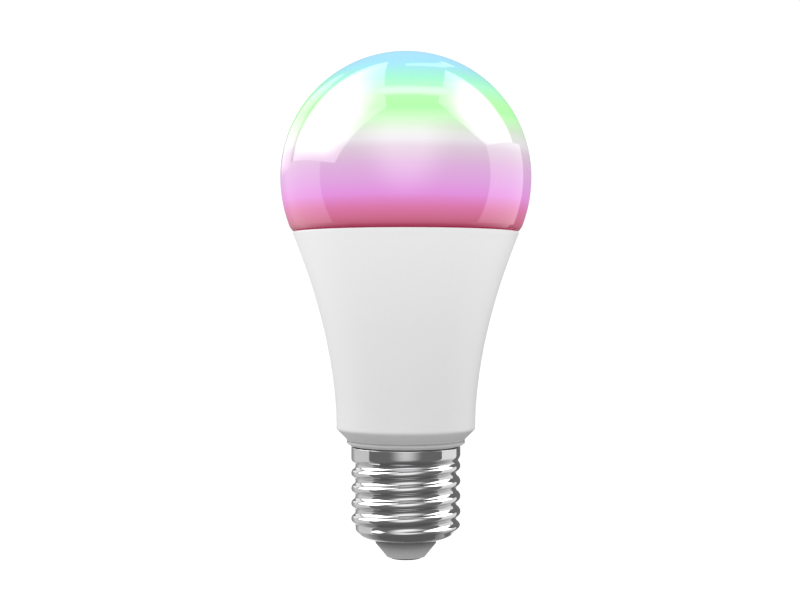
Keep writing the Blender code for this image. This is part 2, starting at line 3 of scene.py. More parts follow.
import bpy
import numpy as np
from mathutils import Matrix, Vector


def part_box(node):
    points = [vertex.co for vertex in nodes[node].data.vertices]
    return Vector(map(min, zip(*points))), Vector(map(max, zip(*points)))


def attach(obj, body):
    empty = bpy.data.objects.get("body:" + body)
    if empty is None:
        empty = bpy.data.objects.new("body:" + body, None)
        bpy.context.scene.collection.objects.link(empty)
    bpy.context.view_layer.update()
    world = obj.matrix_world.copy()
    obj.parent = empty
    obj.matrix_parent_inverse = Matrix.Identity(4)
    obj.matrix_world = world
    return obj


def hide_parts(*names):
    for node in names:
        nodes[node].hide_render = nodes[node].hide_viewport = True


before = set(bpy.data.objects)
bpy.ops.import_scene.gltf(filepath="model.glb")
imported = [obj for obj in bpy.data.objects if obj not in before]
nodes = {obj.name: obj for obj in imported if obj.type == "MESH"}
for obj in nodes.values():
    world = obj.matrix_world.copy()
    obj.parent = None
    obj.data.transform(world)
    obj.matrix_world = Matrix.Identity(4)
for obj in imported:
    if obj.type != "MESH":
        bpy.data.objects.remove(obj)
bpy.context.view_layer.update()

scene = bpy.context.scene
millimetre = 0.001
fitGap = 0.32  # clearance in mm round the globe's skirt and the cone
sharpAngle = math.radians(50.0)  # edges that turn more than this stay crisp
grainRange = (0.3, 0.7)  # nearly all of a noise texture's values lie between these


# Small helpers


def linearColour(hexText):
    # sRGB hex to the linear colour that shaders work in
    parts = [int(hexText[i:i + 2], 16) / 255.0 for i in (1, 3, 5)]
    return tuple(p / 12.92 if p <= 0.04045 else ((p + 0.055) / 1.055) ** 2.4 for p in parts) + (1.0,)


def perMillimetre(size):
    # texture scale that gives one feature every size millimetres
    return 1.0 / (size * millimetre)


def topMm(node):
    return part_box(node)[1] / millimetre


def bottomMm(node):
    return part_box(node)[0] / millimetre


def addNode(tree, kind, inputs=None, **settings):
    # one node with its settings; an input is a value, or another node's output to link
    node = tree.nodes.new(kind)
    node.location = (-200.0 * (len(tree.nodes) % 12), -260.0 * (len(tree.nodes) // 12))
    for name, value in settings.items():
        setattr(node, name, value)
    for name, value in (inputs or {}).items():
        if isinstance(value, bpy.types.NodeSocket):
            tree.links.new(value, node.inputs[name])
        else:
            node.inputs[name].default_value = value
    return node


def setStops(rampNode, stops):
    # colour ramp stops as (place from 0 to 1, colour)
    elements = rampNode.color_ramp.elements
    while len(elements) > 1:
        elements.remove(elements[-1])
    elements[0].position, elements[0].color = stops[0]
    for place, colour in stops[1:]:
        elements.new(place).color = colour


def newMaterial(name, finish):
    # a named material whose even values are set straight on the shader
    material = bpy.data.materials.new(name)
    material.use_nodes = True
    tree = material.node_tree
    shader = tree.nodes["Principled BSDF"]
    for key, socket in (("metallic", "Metallic"), ("ior", "IOR"), ("roughness", "Roughness"),
                        ("coat", "Coat Weight"), ("coatRoughness", "Coat Roughness"),
                        ("specular", "Specular IOR Level"), ("emission", "Emission Strength")):
        if key in finish:
            shader.inputs[socket].default_value = finish[key]
    place = addNode(tree, "ShaderNodeTexCoord")
    return material, tree, shader, place


def mottle(tree, shader, place, finish):
    # two close colours, uneven gloss and fine relief, all from one grain; gives the colours' node
    low, high = grainRange
    grain = addNode(tree, "ShaderNodeTexNoise", {
        "Vector": place.outputs["Object"], "Scale": perMillimetre(finish["grainMm"]),
        "Detail": 4.0, "Roughness": 0.6})
    colours = addNode(tree, "ShaderNodeValToRGB", {"Fac": grain.outputs["Fac"]})
    setStops(colours, [(low, linearColour(finish["dark"])), (high, linearColour(finish["light"]))])
    gloss = addNode(tree, "ShaderNodeMapRange", {
        "Value": grain.outputs["Fac"], "From Min": low, "From Max": high,
        "To Min": finish["gloss"][0], "To Max": finish["gloss"][1]})
    relief = addNode(tree, "ShaderNodeBump", {
        "Height": grain.outputs["Fac"], "Strength": 1.0,
        "Distance": finish["reliefMm"] * millimetre})
    tree.links.new(colours.outputs["Color"], shader.inputs["Base Color"])
    tree.links.new(gloss.outputs["Result"], shader.inputs["Roughness"])
    tree.links.new(relief.outputs["Normal"], shader.inputs["Normal"])
    return colours


def product(tree, factors):
    total = factors[0]
    for factor in factors[1:]:
        total = addNode(tree, "ShaderNodeMath", {0: total, 1: factor}, operation="MULTIPLY").outputs[0]
    return total


def paintedHeightShade(tree, shader, place, colours, levels):
    # painted shade: darkens a moulding's colour by height in place of the shade it gets near other parts:
    # (height in mm, how much colour is left)
    split = addNode(tree, "ShaderNodeSeparateXYZ", {"Vector": place.outputs["Object"]})
    low, high = levels[0][0], levels[-1][0]
    height = addNode(tree, "ShaderNodeMapRange", {
        "Value": split.outputs["Z"], "From Min": low * millimetre, "From Max": high * millimetre})
    left = addNode(tree, "ShaderNodeValToRGB", {"Fac": height.outputs["Result"]})
    setStops(left, [((z - low) / (high - low), (part, part, part, 1.0)) for z, part in levels])
    shaded = addNode(tree, "ShaderNodeVectorMath", {
        0: colours.outputs["Color"], 1: left.outputs["Color"]}, operation="MULTIPLY")
    tree.links.new(shaded.outputs["Vector"], shader.inputs["Base Color"])


def even(start, end, steps):
    return [start + (end - start) * i / steps for i in range(steps + 1)]


def roundCorner(before, corner, after, radius, steps=6):
    # points of a fillet between two straight runs of a profile
    a, c, b = (np.array(p, float) for p in (before, corner, after))
    toA, toB = (a - c) / np.linalg.norm(a - c), (b - c) / np.linalg.norm(b - c)
    half = math.acos(max(-1.0, min(1.0, float(toA @ toB)))) / 2.0
    reach = min(radius / math.tan(half), 0.49 * np.linalg.norm(a - c), 0.49 * np.linalg.norm(b - c))
    start, end = c + toA * reach, c + toB * reach
    return [tuple((1 - t) ** 2 * start + 2 * t * (1 - t) * c + t * t * end) for t in even(0.0, 1.0, steps)]


def roundedProfile(points, closed=True):
    # (radius, height) points, with a fillet radius as a third number where a corner is rounded
    count, out = len(points), []
    for i, point in enumerate(points):
        if len(point) == 2 or (not closed and i in (0, count - 1)):
            out.append(tuple(point[:2]))
        else:
            out += roundCorner(points[i - 1][:2], point[:2], points[(i + 1) % count][:2], point[2])
    return out


def turnedPiece(name, profile, around, closed=True, radiusAt=None):
    # lathes a profile in millimetres; an open profile starts and ends on the axis
    profile = np.array(profile, float)
    angles = np.arange(around) * 2.0 * math.pi / around
    poles = [] if closed else [0, len(profile) - 1]
    rings = [i for i in range(len(profile)) if i not in poles]
    points, first = [], {}
    for i in rings:
        radius, height = profile[i]
        r = np.full(around, radius) if radiusAt is None else radiusAt(radius, height, angles)
        first[i] = len(points)
        points += list(zip(r * np.cos(angles), r * np.sin(angles), np.full(around, height)))
    faces = []
    pairs = list(zip(rings, rings[1:])) + ([(rings[-1], rings[0])] if closed else [])
    for here, there in pairs:
        for k in range(around):
            after = (k + 1) % around
            faces.append((first[here] + k, first[there] + k, first[there] + after, first[here] + after))
    for pole, ring, flip in zip(poles, (rings[0], rings[-1]), (True, False)):
        points.append((0.0, 0.0, profile[pole][1]))
        for k in range(around):
            edge = (first[ring] + k, first[ring] + (k + 1) % around)
            faces.append((len(points) - 1, *(edge if flip else edge[::-1])))
    mesh = bpy.data.meshes.new(name)
    mesh.from_pydata([tuple(c * millimetre for c in p) for p in points], [], faces)
    mesh.shade_smooth()
    mesh.set_sharp_from_angle(angle=sharpAngle)
    made = bpy.data.objects.new(name, mesh)
    scene.collection.objects.link(made)
    return made


def outwardFaces(made):
    # a closed piece's faces point out if its signed volume is positive
    mesh = made.data
    mesh.calc_loop_triangles()
    volume = sum(Vector(mesh.vertices[t.vertices[0]].co).dot(
        Vector(mesh.vertices[t.vertices[1]].co).cross(mesh.vertices[t.vertices[2]].co))
        for t in mesh.loop_triangles)
    if volume < 0.0:
        mesh.flip_normals()


def standFor(made, node, material):
    # the finished piece rides on the lamp in place of its CAD solid
    outwardFaces(made)
    made.data.materials.clear()
    made.data.materials.append(material)
    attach(made, "root")
    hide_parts(node)


def easeBetween(value, start, end):
    part = np.clip((value - start) / (end - start), 0.0, 1.0)
    return part * part * (3.0 - 2.0 * part)


# Housing

housingShape = {
    # radii and heights in mm; the flare is the power of the trumpet's curve
    "rimZ": topMm("housing").z, "rimR": 27.2, "rimDraft": 0.08, "rimEdge": 0.4,
    "waistZ": 31.55, "waistR": 16.6, "flare": 1.82, "wall": 1.3, "around": 192,
    "footCorner": 1.2, "chamferFoot": (14.3, 28.7), "lipR": 14.15, "lipZ": 27.0, "lipTop": 28.1,
    "lipBevel": (0.95, 0.6), "grooveDeep": 0.3, "grooveZ": (28.33, 28.13),
    "neckR": 11.25, "neckZ": bottomMm("housing").z, "floorZ": 28.4,
}


def housingRadius(z):
    h = housingShape
    height = max(z - h["waistZ"], 0.0) / (h["rimZ"] - h["waistZ"])
    return h["waistR"] + (h["rimR"] - h["waistR"]) * height ** h["flare"]


def makeHousing():
    h = housingShape
    rim, chamferR, chamferZ = h["rimZ"], *h["chamferFoot"]
    wall, lip, groove = h["wall"], h["lipR"], h["lipR"] - h["grooveDeep"]
    grooveTop, grooveFoot = h["grooveZ"]
    bevelIn, bevelUp = h["lipBevel"]
    # a third number rounds that corner
    profile = [(housingRadius(rim) - wall, rim, 0.2), (h["rimR"] - h["rimDraft"], rim, h["rimEdge"])]
    profile += [(housingRadius(z), z) for z in even(rim - 0.6, h["waistZ"], 110)]
    profile += [(h["waistR"], chamferZ + h["waistR"] - chamferR, h["footCorner"])]
    profile += [(chamferR, chamferZ, 0.15), (lip, chamferZ - 0.3, 0.1)]
    profile += [(groove, grooveTop, 0.06), (groove, grooveFoot, 0.06), (lip, h["lipTop"], 0.1)]
    profile += [(lip, h["lipZ"] + bevelUp, 0.25), (lip - bevelIn, h["lipZ"], 0.15)]
    profile += [(h["neckR"], h["lipZ"], 0.2), (h["neckR"], h["neckZ"], 0.2)]
    profile += [(h["neckR"] - wall, h["neckZ"], 0.2), (h["neckR"] - wall, h["floorZ"])]
    profile += [(chamferR - 2.0, h["floorZ"], 1.0)]
    profile += [(housingRadius(z) - wall, z) for z in even(h["waistZ"], rim - 0.5, 40)]
    made = turnedPiece("housing_jacket", roundedProfile(profile), h["around"])
    finish = {
        "dark": "#efeff0", "light": "#f2f2f3", "grainMm": 0.35, "gloss": (0.40, 0.48),
        "reliefMm": 0.004, "ior": 1.50,
        # painted shade: the colour darkens down the housing, most on the chamfer and lip over the cap
        "paintedHeightShade": [(27.0, 0.54), (28.6, 0.50), (30.4, 0.54), (31.6, 0.78), (40.0, 0.80),
                      (55.0, 0.86), (75.0, 0.97)],
    }
    # satin moulded ABS: spark-eroded tool texture, so highlights go broad and edges stay soft
    material, tree, shader, place = newMaterial("satin_moulded_abs", finish)
    colours = mottle(tree, shader, place, finish)
    paintedHeightShade(tree, shader, place, colours, finish["paintedHeightShade"])
    standFor(made, "housing", material)


# Globe

globeShape = {
    "r": 30.0, "z": topMm("diffuser").z - 30.0, "wall": 1.2, "tuckZ": 79.2, "lowerFullness": 0.955,
    "footR": 27.1, "ledgeZ": 78.32, "skirtZ": bottomMm("diffuser").z, "around": 192,
}
glowAndShadeBands = {
    # height above the contact in mm and the colour that the light shows there, with painted shade in the
    # lowest stops
    120.8: "#a6e6ff", 119.0: "#a6e6ff", 117.5: "#a3e3ff", 115.5: "#a2e8f3", 113.5: "#a3f1df",
    112.0: "#a4f8d2", 110.8: "#b0fdd0", 107.5: "#b6ffb2", 106.0: "#b4ffab", 104.8: "#b2ffac",
    103.5: "#c1fdb9", 100.5: "#d5e7cf", 99.0: "#e0e4dd", 97.5: "#e3dee3", 95.8: "#dac6d7",
    94.0: "#d9bad5", 92.0: "#daadd8", 88.0: "#de9ddd", 86.5: "#e094dd", 85.2: "#e18dd9",
    # the stops below 80 mm are partly the light's own crimson and partly painted shade where the globe tucks
    # into the housing
    84.2: "#de82c7", 82.4: "#d972a7", 80.4: "#cd678d", 79.6: "#c56081", 79.0: "#bb5574",
    78.4: "#9f3152",
}


def makeGlobe():
    g = globeShape
    skirtR = housingRadius(g["skirtZ"]) - housingShape["wall"] - fitGap
    topSkirtR = housingRadius(housingShape["rimZ"]) - housingShape["wall"] - fitGap
    inner = g["r"] - g["wall"]
    tuck = math.asin((g["tuckZ"] - g["z"]) * g["lowerFullness"] / g["r"])
    innerTuck = math.asin((g["tuckZ"] + g["wall"] - g["z"]) / inner)
    # the blown globe is a little fuller than a ball below its middle
    profile = []
    for a in even(math.pi / 2, tuck, 120):
        rise = g["r"] * math.sin(a) / (1.0 if a > 0.0 else g["lowerFullness"])
        profile.append((g["r"] * math.cos(a), g["z"] + rise))
    profile[0] = (0.0, g["z"] + g["r"])
    last = profile.pop()
    profile.append((*last, 0.6))
    profile += [(g["footR"], g["ledgeZ"], 0.2), (topSkirtR, g["ledgeZ"], 0.15), (skirtR, g["skirtZ"], 0.2)]
    profile += [(skirtR - g["wall"], g["skirtZ"], 0.2), (topSkirtR - g["wall"], g["ledgeZ"], 2.0)]
    profile += [(inner * math.cos(a), g["z"] + inner * math.sin(a)) for a in even(innerTuck, math.pi / 2, 60)]
    profile[-1] = (0.0, g["z"] + inner)
    made = turnedPiece("globe", roundedProfile(profile, closed=False), g["around"], closed=False)
    finish = {
        "ior": 1.58, "specular": 1.1, "roughness": 0.05, "body": 0.42, "emission": 0.62,
        "rippleMm": 6.0, "reliefMm": 0.004,
    }
    # opal polycarbonate, blow-moulded and polished: milky body lit in bands, hard mirror-like gloss
    material, tree, shader, place = newMaterial("gloss_opal_polycarbonate", finish)
    split = addNode(tree, "ShaderNodeSeparateXYZ", {"Vector": place.outputs["Object"]})
    low, high = min(glowAndShadeBands), max(glowAndShadeBands)
    height = addNode(tree, "ShaderNodeMapRange", {
        "Value": split.outputs["Z"], "From Min": low * millimetre, "From Max": high * millimetre})
    bands = addNode(tree, "ShaderNodeValToRGB", {"Fac": height.outputs["Result"]})
    setStops(bands, [((z - low) / (high - low), linearColour(glowAndShadeBands[z])) for z in sorted(glowAndShadeBands)])
    ripple = addNode(tree, "ShaderNodeTexNoise", {
        "Vector": place.outputs["Object"], "Scale": perMillimetre(finish["rippleMm"]), "Detail": 1.0})
    relief = addNode(tree, "ShaderNodeBump", {
        "Height": ripple.outputs["Fac"], "Distance": finish["reliefMm"] * millimetre})
    body = addNode(tree, "ShaderNodeVectorMath", {
        0: bands.outputs["Color"], "Scale": finish["body"]}, operation="SCALE")
    tree.links.new(body.outputs["Vector"], shader.inputs["Base Color"])
    tree.links.new(bands.outputs["Color"], shader.inputs["Emission Color"])
    tree.links.new(relief.outputs["Normal"], shader.inputs["Normal"])
    standFor(made, "diffuser", material)


# Screw shell

threadShape = {
    "pitch": 25.4 / 7.0, "rootR": 12.05, "depth": 1.0, "crestZ": 7.68, "wall": 0.45,
    "runIn": (24.9, 22.4), "runOut": (6.0, 8.3), "topZ": topMm("screw_shell").z,
    "mouth": (7.5, bottomMm("screw_shell").z), "slope": math.radians(17.0), "shoulderR": 3.0,
    "edgeIn": ((0.06, 0.15), (0.06, 0.12)), "edgeDown": (0.12, 0.03), "around": 256,
}


def threadRise(z, angles):
    # how far the rolled thread stands over the root: equal arcs, tangent halfway up the flank
    t = threadShape
    turns = (z - t["crestZ"]) / t["pitch"] - angles / (2.0 * math.pi)
    offCrest = np.abs((turns + 0.5) % 1.0 - 0.5) * t["pitch"]
    quarter, half = t["pitch"] / 4.0, t["depth"] / 2.0
    radius = (quarter ** 2 + half ** 2) / (2.0 * half)
    offRoot = 2.0 * quarter - offCrest
    nearCrest = t["depth"] - radius + np.sqrt(radius ** 2 - np.minimum(offCrest, quarter) ** 2)
    nearRoot = radius - np.sqrt(radius ** 2 - np.minimum(offRoot, quarter) ** 2)
    rolled = np.where(offCrest < quarter, nearCrest, nearRoot) / t["depth"]
    groove = easeBetween(z, *t["runIn"]) * (1.0 - rolled)
    return t["depth"] * (1.0 - groove) * easeBetween(z, *t["runOut"])


def shoulderPath(offset, steps):
    # flat cone up from the mouth, then an arc into the straight wall
    t = threadShape
    tilt = math.pi / 2.0 - t["slope"]
    centreR = t["rootR"] - t["shoulderR"]
    joinR = centreR + t["shoulderR"] * math.cos(tilt)
    joinZ = t["mouth"][1] + (joinR - t["mouth"][0]) * math.tan(t["slope"])
    centreZ = joinZ + t["shoulderR"] * math.sin(tilt)
    path = [(t["mouth"][0], t["mouth"][1] + offset / math.cos(t["slope"]))]
    for a in even(-tilt, 0.0, steps):
        reach = t["shoulderR"] - offset
        path.append((centreR + reach * math.cos(a), centreZ + reach * math.sin(a)))
    return path


def makeScrewShell():
    t = threadShape
    outside, inside = shoulderPath(0.0, 14), shoulderPath(t["wall"], 10)
    # the cut edge at the top is eased in two small steps, outside and inside
    (outA, outB), (inA, inB) = t["edgeIn"]
    downA, downB = t["edgeDown"]
    outside += [(t["rootR"], z) for z in even(outside[-1][1], t["topZ"] - downA, 230)[1:]]
    outside += [(t["rootR"] - outA, t["topZ"] - downB), (t["rootR"] - outB, t["topZ"])]
    inner = t["rootR"] - t["wall"]
    inside += [(inner, z) for z in even(inside[-1][1], t["topZ"] - downA, 110)[1:]]
    inside += [(inner + inA, t["topZ"] - downB), (inner + inB, t["topZ"])]

    def rolledRadius(radius, z, angles):
        return radius + threadRise(z, angles)

    made = turnedPiece("rolled_screw_shell", outside + inside[::-1], t["around"], radiusAt=rolledRadius)
    finish = {
        "metallic": 1.0, "lineMm": 0.25, "stretch": (0.05, 0.05, 1.0), "gloss": (0.06, 0.085),
        "dark": "#d0d0d2", "light": "#d6d6d6",
    }
    # bright nickel on rolled sheet: mirror-like, with faint lines round it from the rolling
    material, tree, shader, place = newMaterial("bright_nickel_plate", finish)
    squash = addNode(tree, "ShaderNodeMapping", {
        "Vector": place.outputs["Object"], "Scale": finish["stretch"]})
    lines = addNode(tree, "ShaderNodeTexNoise", {
        "Vector": squash.outputs["Vector"], "Scale": perMillimetre(finish["lineMm"]), "Detail": 3.0})
    colours = addNode(tree, "ShaderNodeValToRGB", {"Fac": lines.outputs["Fac"]})
    setStops(colours, [(0.35, linearColour(finish["dark"])), (0.65, linearColour(finish["light"]))])
    gloss = addNode(tree, "ShaderNodeMapRange", {
        "Value": lines.outputs["Fac"], "From Min": grainRange[0], "From Max": grainRange[1],
        "To Min": finish["gloss"][0], "To Max": finish["gloss"][1]})
    tree.links.new(colours.outputs["Color"], shader.inputs["Base Color"])
    tree.links.new(gloss.outputs["Result"], shader.inputs["Roughness"])
    standFor(made, "screw_shell", material)


# Insulator and contact

coneShape = {
    "rimR": 4.55, "rimZ": bottomMm("cap_insulator").z, "topR": 7.26, "topZ": 3.72,
    "flangeR": 10.2, "flangeZ": topMm("cap_insulator").z, "bore": 1.35, "recessZ": 1.32,
    "flangeFoot": (9.2, 0.69), "flangeRise": 1.6, "around": 144,
}
contactShape = {
    "r": 3.7, "thick": 1.0, "rivetR": 1.0, "rivetZ": topMm("centre_contact").z, "around": 96,
}


def makeCone():
    c = coneShape
    flangeLow = threadShape["mouth"][1] + threadShape["wall"] / math.cos(threadShape["slope"]) + fitGap
    recess = contactShape["r"] + fitGap
    footR, footUp = c["flangeFoot"]
    profile = [(recess, c["rimZ"], 0.08), (c["rimR"], c["rimZ"], 0.14), (c["topR"], c["topZ"], 0.3)]
    profile += [(c["topR"], flangeLow, 0.1), (footR, flangeLow + footUp, 0.4)]
    profile += [(c["flangeR"], flangeLow + c["flangeRise"], 0.2)]
    profile += [(c["flangeR"], c["flangeZ"], 0.2), (c["bore"], c["flangeZ"], 0.15)]
    profile += [(c["bore"], c["recessZ"], 0.1), (recess, c["recessZ"], 0.1)]
    made = turnedPiece("insulator_cone", roundedProfile(profile), c["around"])
    finish = {
        "dark": "#a9a9a9", "light": "#b4b4b4", "grainMm": 0.5, "gloss": (0.55, 0.7),
        "reliefMm": 0.01, "ior": 1.52,
        # painted shade: the colour darkens towards the cone's top, under the shell's mouth
        "paintedHeightShade": [(0.4, 0.96), (1.6, 0.86), (2.6, 0.70), (3.4, 0.48), (4.4, 0.3)],
    }
    # pressed urea insulator: matt grey with a faint mineral mottle
    material, tree, shader, place = newMaterial("pressed_grey_insulator", finish)
    colours = mottle(tree, shader, place, finish)
    paintedHeightShade(tree, shader, place, colours, finish["paintedHeightShade"])
    standFor(made, "cap_insulator", material)


def makeContact():
    c = contactShape
    profile = [(0.0, 0.0), (c["r"], 0.0, 0.28), (c["r"], c["thick"], 0.15), (c["rivetR"], c["thick"], 0.2)]
    profile += [(c["rivetR"], c["rivetZ"], 0.25), (0.0, c["rivetZ"])]
    made = turnedPiece("contact_disc", roundedProfile(profile, closed=False), c["around"], closed=False)
    finish = {"metallic": 1.0, "dark": "#6f6f70", "light": "#8f8f90", "grainMm": 0.6,
              "gloss": (0.28, 0.42), "reliefMm": 0.01}
    # tinned brass, dulled by handling: soft uneven shine
    material, tree, shader, place = newMaterial("tinned_brass_contact", finish)
    mottle(tree, shader, place, finish)
    standFor(made, "centre_contact", material)


# Inside pieces keep their CAD shape and get their real finishes

mouldedFinishes = {
    # finish: CAD pieces that show it, and its look; the comment says what it gives the eye
    "cured_white_silicone": {  # bead wiped by a nozzle: soft, slightly glossy, faintly lumpy
        "pieces": ["seal_ring"], "dark": "#e4e4e0", "light": "#f1f1ee", "grainMm": 1.2,
        "gloss": (0.32, 0.5), "reliefMm": 0.02, "ior": 1.41},
    "filled_silicone_pad": {  # grey filler specks in a matt rubber sheet
        "pieces": ["thermal_pad"], "dark": "#6a7178", "light": "#8d949b", "grainMm": 0.35,
        "gloss": (0.72, 0.88), "reliefMm": 0.02, "ior": 1.43},
    "bright_zinc_plate": {  # tumbled screws: bright but clouded
        "pieces": ["led_screw_1", "led_screw_2"], "metallic": 1.0, "dark": "#b9bdc2", "light": "#d3d6d8",
        "grainMm": 0.5, "gloss": (0.22, 0.38), "reliefMm": 0.008},
    "black_epoxy_moulding": {  # transfer-moulded package: fine spark-eroded grain, dull sheen
        "pieces": ["led_pin_header", "bridge_rectifier", "transformer_bobbin", "mains_chip", "led_chip"],
        "dark": "#0f0f11", "light": "#1e1e21", "grainMm": 0.15, "gloss": (0.42, 0.6),
        "reliefMm": 0.008, "ior": 1.55},
    "dipped_red_epoxy": {  # film capacitor dipped in resin: wet gloss with orange peel
        "pieces": ["film_capacitor"], "dark": "#8d1d14", "light": "#ab2b1e", "grainMm": 1.4,
        "gloss": (0.1, 0.2), "reliefMm": 0.05, "ior": 1.55},
    "ground_ferrite": {  # sintered and ground: near-black, gritty, with a grey bloom
        "pieces": ["inductor_core", "transformer_core"], "dark": "#2a2b2d", "light": "#46474a",
        "grainMm": 0.2, "gloss": (0.5, 0.75), "reliefMm": 0.02, "ior": 2.0},
    "black_pvc_sleeve": {  # extruded wire cover: even soft shine
        "pieces": ["live_wire"], "dark": "#141416", "light": "#232326", "grainMm": 0.6,
        "gloss": (0.3, 0.42), "reliefMm": 0.006, "ior": 1.53},
    "white_pvc_sleeve": {  # the same cover in white
        "pieces": ["neutral_wire"], "dark": "#dcdcd9", "light": "#ecece9", "grainMm": 0.6,
        "gloss": (0.3, 0.42), "reliefMm": 0.006, "ior": 1.53},
}
bandedFinishes = {
    # as above, with bands along one axis instead of grain; the pitch is the real wire, tape or tool line
    "drawn_aluminium": {  # lines round the cup from drawing and trimming, drawn coarser than real
        "pieces": ["heat_sink_cup"], "metallic": 1.0, "dark": "#b3b6b9", "light": "#d4d6d8",
        "pitchMm": 0.5, "axis": "Z", "gloss": (0.24, 0.4), "reliefMm": 0.01, "ragged": 3.0},
    "tinned_steel_can": {  # rolled tin plate: soft streaks along the shield
        "pieces": ["wifi_shield"], "metallic": 1.0, "dark": "#b6b9bc", "light": "#d2d4d6",
        "pitchMm": 0.8, "axis": "X", "gloss": (0.2, 0.36), "reliefMm": 0.006, "ragged": 6.0},
    "enamelled_copper_wire": {  # tight turns of 0.45 mm wire under amber lacquer
        "pieces": ["inductor_winding"], "metallic": 1.0, "dark": "#6e3215", "light": "#d98d4c",
        "pitchMm": 0.45, "axis": "Z", "gloss": (0.12, 0.28), "reliefMm": 0.08, "ragged": 0.4},
    "polyester_winding_tape": {  # yellow film wound in layers, each edge a thin step
        "pieces": ["transformer_winding"], "dark": "#c79a12", "light": "#e8c531",
        "pitchMm": 2.5, "axis": "Z", "gloss": (0.18, 0.32), "reliefMm": 0.04, "ragged": 0.6, "ior": 1.64},
}


wavePeriod = 2.0 * math.pi / 20.0  # a wave texture repeats this far along at a scale of 1


def giveFinish(pieces, material):
    for name in pieces:
        nodes[name].data.materials.clear()
        nodes[name].data.materials.append(material)


def dressMoulded():
    for name, finish in mouldedFinishes.items():
        material, tree, shader, place = newMaterial(name, finish)
        mottle(tree, shader, place, finish)
        giveFinish(finish["pieces"], material)


def dressBanded():
    for name, finish in bandedFinishes.items():
        material, tree, shader, place = newMaterial(name, finish)
        bands = addNode(tree, "ShaderNodeTexWave", {
            "Vector": place.outputs["Object"], "Scale": perMillimetre(finish["pitchMm"]) * wavePeriod,
            "Distortion": finish["ragged"], "Detail": 2.0, "Detail Scale": 1.5},
            wave_type="BANDS", bands_direction=finish["axis"])
        colours = addNode(tree, "ShaderNodeValToRGB", {"Fac": bands.outputs["Fac"]})
        setStops(colours, [(0.1, linearColour(finish["dark"])), (0.7, linearColour(finish["light"]))])
        gloss = addNode(tree, "ShaderNodeMapRange", {
            "Value": bands.outputs["Fac"], "To Min": finish["gloss"][1], "To Max": finish["gloss"][0]})
        relief = addNode(tree, "ShaderNodeBump", {
            "Height": bands.outputs["Fac"], "Distance": finish["reliefMm"] * millimetre})
        tree.links.new(colours.outputs["Color"], shader.inputs["Base Color"])
        tree.links.new(gloss.outputs["Result"], shader.inputs["Roughness"])
        tree.links.new(relief.outputs["Normal"], shader.inputs["Normal"])
        giveFinish(finish["pieces"], material)


boardFinishes = {
    # cells are across and up in mm; lineShare is how much of a cell's short side its track fills, and
    # blankShare is the share of cells with no track
    "white_solder_mask": {  # white mask over copper pours: a grid of faint lines in rings round the axis
        "pieces": ["led_board"], "round": True, "cellsMm": [(30.0, 3.6), (15.0, 7.2)], "lineShare": 0.06,
        "blankShare": 0.0, "dark": "#e2e2dc", "light": "#eeeeea", "line": "#cfd0ca", "gloss": (0.38, 0.5),
        "reliefMm": 0.02, "sunk": True, "grainMm": 0.5},
    "green_solder_mask": {  # green mask over copper tracks: short bright runs stand a little proud
        "pieces": ["wifi_board", "driver_board"], "round": False, "cellsMm": [(5.2, 0.9), (0.9, 4.1)],
        "lineShare": 0.42, "blankShare": 0.5, "dark": "#0e4a28", "light": "#13562f", "line": "#1f7d47",
        "gloss": (0.2, 0.34), "reliefMm": 0.035, "sunk": False, "grainMm": 0.5},
}


